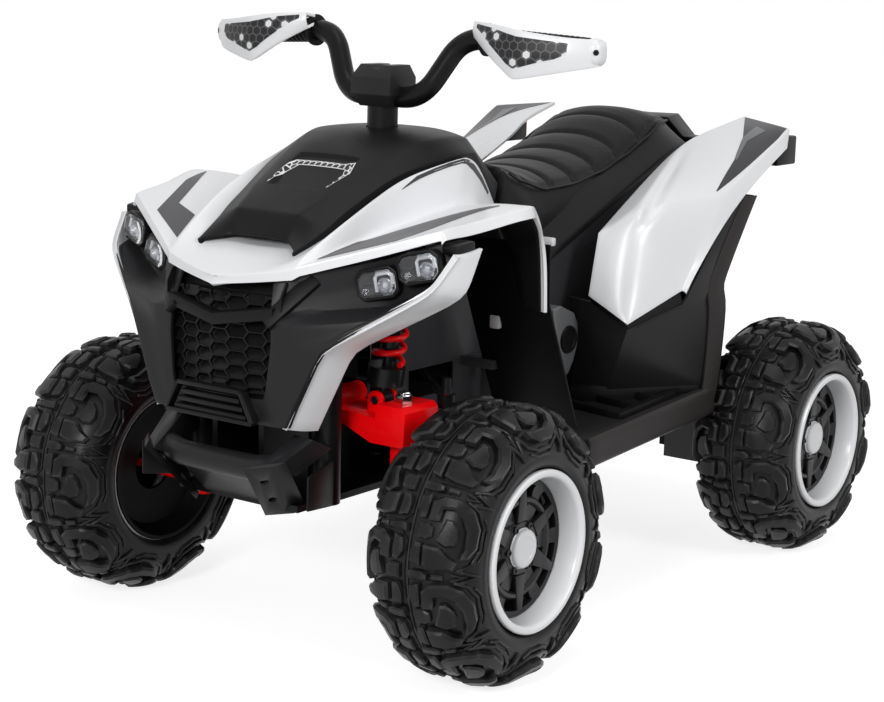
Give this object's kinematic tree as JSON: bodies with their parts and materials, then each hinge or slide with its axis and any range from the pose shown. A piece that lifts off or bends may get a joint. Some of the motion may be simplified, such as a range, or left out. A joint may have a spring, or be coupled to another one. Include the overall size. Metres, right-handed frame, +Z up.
{
  "type": "kids quad bike",
  "caption": "Ride-on toy quad bike for a small child, with chunky tyres, sprung front arms, steering bar with hand guards, long stitched seat and electric drive.",
  "frame": {"origin": "on the floor, at the middle of the overall box", "axes": "+Z up, -Y towards the vehicle's front, +X towards the vehicle's left side"},
  "size_m": [0.706, 1.08, 0.741],
  "materials": {
    "white_body": "gloss moulded white",
    "black_body": "fine-grained matte black",
    "tyre": "moulded black, satin",
    "rim_white": "gloss white",
    "spoke_black": "semi-gloss black",
    "cap_grey": "satin pale grey",
    "red_moulded": "gloss red",
    "spring_red": "gloss red coated wire",
    "damper_black": "satin black",
    "steel": "bright steel",
    "bolt_chrome": "bright plated",
    "bar_black": "satin black",
    "grip_rubber": "soft matte black",
    "seat_leather": "grained black, stitched",
    "lamp_clear": "clear lens",
    "tail_red": "dark red lens",
    "motor_black": "plain black",
    "battery_grey": "plain grey",
    "switch_red": "gloss red",
    "switch_black": "gloss black"
  },
  "bodies": {
    "chassis": {"hood": "white_body", "mask_trims": "white_body", "left_rear_fender": "white_body", "right_rear_fender": "white_body", "hood_cover": "black_body", "front_mask": "black_body", "grille": "black_body", "front_bumper": "black_body", "splash_guards": "black_body", "footboards": "black_body", "rear_side_panels": "black_body", "rear_cover": "black_body", "body_tub": "black_body", "main_frame": "black_body", "rear_axle": "steel", "frame_pins": "steel", "seat": "seat_leather", "headlights": "lamp_clear", "tail_lamps": "tail_red", "gear_motors": "motor_black", "battery": "battery_grey"},
    "steering": {"steering_shaft": "bar_black", "handlebar": "bar_black", "handlebar_clamp": "black_body", "grips": "grip_rubber", "left_hand_guard": "white_body", "right_hand_guard": "white_body"},
    "pedal": {"accelerator_pedal": "black_body"},
    "power_button": {"power_button": "switch_red"},
    "rocker": {"direction_rocker": "switch_black"},
    "left_tie_rod": {"left_tie_rod": "steel"},
    "left_arm": {"left_arm": "red_moulded", "left_kingpin": "bolt_chrome"},
    "left_knuckle": {"left_knuckle": "red_moulded"},
    "left_shock_tube": {"left_shock_tube": "damper_black", "left_spring": "spring_red"},
    "left_shock_rod": {"left_shock_rod": "damper_black"},
    "right_tie_rod": {"right_tie_rod": "steel"},
    "right_arm": {"right_arm": "red_moulded", "right_kingpin": "bolt_chrome"},
    "right_knuckle": {"right_knuckle": "red_moulded"},
    "right_shock_tube": {"right_shock_tube": "damper_black", "right_spring": "spring_red"},
    "right_shock_rod": {"right_shock_rod": "damper_black"},
    "front_left_wheel": {"front_left_tyre": "tyre", "front_left_rim": "rim_white", "front_left_spokes": "spoke_black", "front_left_hub_cap": "cap_grey"},
    "front_right_wheel": {"front_right_tyre": "tyre", "front_right_rim": "rim_white", "front_right_spokes": "spoke_black", "front_right_hub_cap": "cap_grey"},
    "rear_left_wheel": {"rear_left_tyre": "tyre", "rear_left_rim": "rim_white", "rear_left_spokes": "spoke_black", "rear_left_hub_cap": "cap_grey"},
    "rear_right_wheel": {"rear_right_tyre": "tyre", "rear_right_rim": "rim_white", "rear_right_spokes": "spoke_black", "rear_right_hub_cap": "cap_grey"}
  },
  "joints": [
    {"name": "steering_turn", "type": "hinge", "parent": "chassis", "child": "steering", "pos_m": [0, -0.202, 0.4], "axis": [0, 0, 1], "range_deg": [-20, 20]},
    {"name": "left_tie_rod_turn", "type": "hinge", "parent": "steering", "child": "left_tie_rod", "pos_m": [0.016, -0.14, 0.299], "axis": [0, 0, 1], "range_deg": [-20, 20]},
    {"name": "left_arm_swing", "type": "hinge", "parent": "chassis", "child": "left_arm", "pos_m": [0.062, -0.352, 0.299], "axis": [0, -1, 0], "range_deg": [0, 7], "stiffness_Nm_per_rad": 150, "springref_deg": -5.73},
    {"name": "left_knuckle_turn", "type": "hinge", "parent": "left_arm", "child": "left_knuckle", "pos_m": [0.157, -0.352, 0.212], "axis": [0, 0, 1], "range_deg": [-20, 20]},
    {"name": "front_left_wheel_spin", "type": "hinge", "parent": "left_knuckle", "child": "front_left_wheel", "pos_m": [0.283, -0.352, 0.162], "axis": [1, 0, 0], "continuous": true},
    {"name": "left_shock_turn", "type": "hinge", "parent": "chassis", "child": "left_shock_tube", "pos_m": [0.14, -0.346, 0.448], "axis": [0, -1, 0], "range_deg": [-0.7609, 0]},
    {"name": "left_shock_slide", "type": "slide", "parent": "left_shock_tube", "child": "left_shock_rod", "axis": [0.1299, 0, 0.9915], "range_m": [0, 0.00697], "deforming": ["left_spring"]},
    {"name": "rear_left_wheel_spin", "type": "hinge", "parent": "chassis", "child": "rear_left_wheel", "pos_m": [0.283, 0.378, 0.162], "axis": [1, 0, 0], "continuous": true},
    {"name": "right_tie_rod_turn", "type": "hinge", "parent": "steering", "child": "right_tie_rod", "pos_m": [-0.016, -0.14, 0.299], "axis": [0, 0, 1], "range_deg": [-20, 20]},
    {"name": "right_arm_swing", "type": "hinge", "parent": "chassis", "child": "right_arm", "pos_m": [-0.062, -0.352, 0.299], "axis": [0, 1, 0], "range_deg": [0, 7], "stiffness_Nm_per_rad": 150, "springref_deg": -5.73},
    {"name": "right_knuckle_turn", "type": "hinge", "parent": "right_arm", "child": "right_knuckle", "pos_m": [-0.157, -0.352, 0.212], "axis": [0, 0, 1], "range_deg": [-20, 20]},
    {"name": "front_right_wheel_spin", "type": "hinge", "parent": "right_knuckle", "child": "front_right_wheel", "pos_m": [-0.283, -0.352, 0.162], "axis": [1, 0, 0], "continuous": true},
    {"name": "right_shock_turn", "type": "hinge", "parent": "chassis", "child": "right_shock_tube", "pos_m": [-0.14, -0.346, 0.448], "axis": [0, 1, 0], "range_deg": [-0.7609, 0]},
    {"name": "right_shock_slide", "type": "slide", "parent": "right_shock_tube", "child": "right_shock_rod", "axis": [-0.1299, 0, 0.9915], "range_m": [0, 0.00697], "deforming": ["right_spring"]},
    {"name": "rear_right_wheel_spin", "type": "hinge", "parent": "chassis", "child": "rear_right_wheel", "pos_m": [-0.283, 0.378, 0.162], "axis": [1, 0, 0], "continuous": true},
    {"name": "pedal_press", "type": "hinge", "parent": "chassis", "child": "pedal", "pos_m": [-0.185, -0.00725, 0.24141], "axis": [1, 0, 0], "range_deg": [0, 15], "stiffness_Nm_per_rad": 2, "springref_deg": -14.32},
    {"name": "power_button_push", "type": "slide", "parent": "chassis", "child": "power_button", "axis": [0, -0.5888, -0.8083], "range_m": [0, 0.003], "stiffness_N_per_m": 800, "springref_m": -0.001},
    {"name": "rocker_tilt", "type": "hinge", "parent": "chassis", "child": "rocker", "pos_m": [-0.028, -0.10776, 0.57395], "axis": [1, 0, 0], "range_deg": [-8, 8]}
  ],
  "couplings": [
    {"joint": "left_tie_rod_turn", "follows": "steering_turn", "ratio": -1},
    {"joint": "left_knuckle_turn", "follows": "steering_turn", "ratio": 1},
    {"joint": "left_shock_turn", "follows": "left_arm_swing", "ratio": -0.1087},
    {"joint": "left_shock_slide", "follows": "left_arm_swing", "m_per_rad": 0.05703},
    {"joint": "right_tie_rod_turn", "follows": "steering_turn", "ratio": -1},
    {"joint": "right_knuckle_turn", "follows": "steering_turn", "ratio": 1},
    {"joint": "right_shock_turn", "follows": "right_arm_swing", "ratio": -0.1087},
    {"joint": "right_shock_slide", "follows": "right_arm_swing", "m_per_rad": 0.05703}
  ]
}
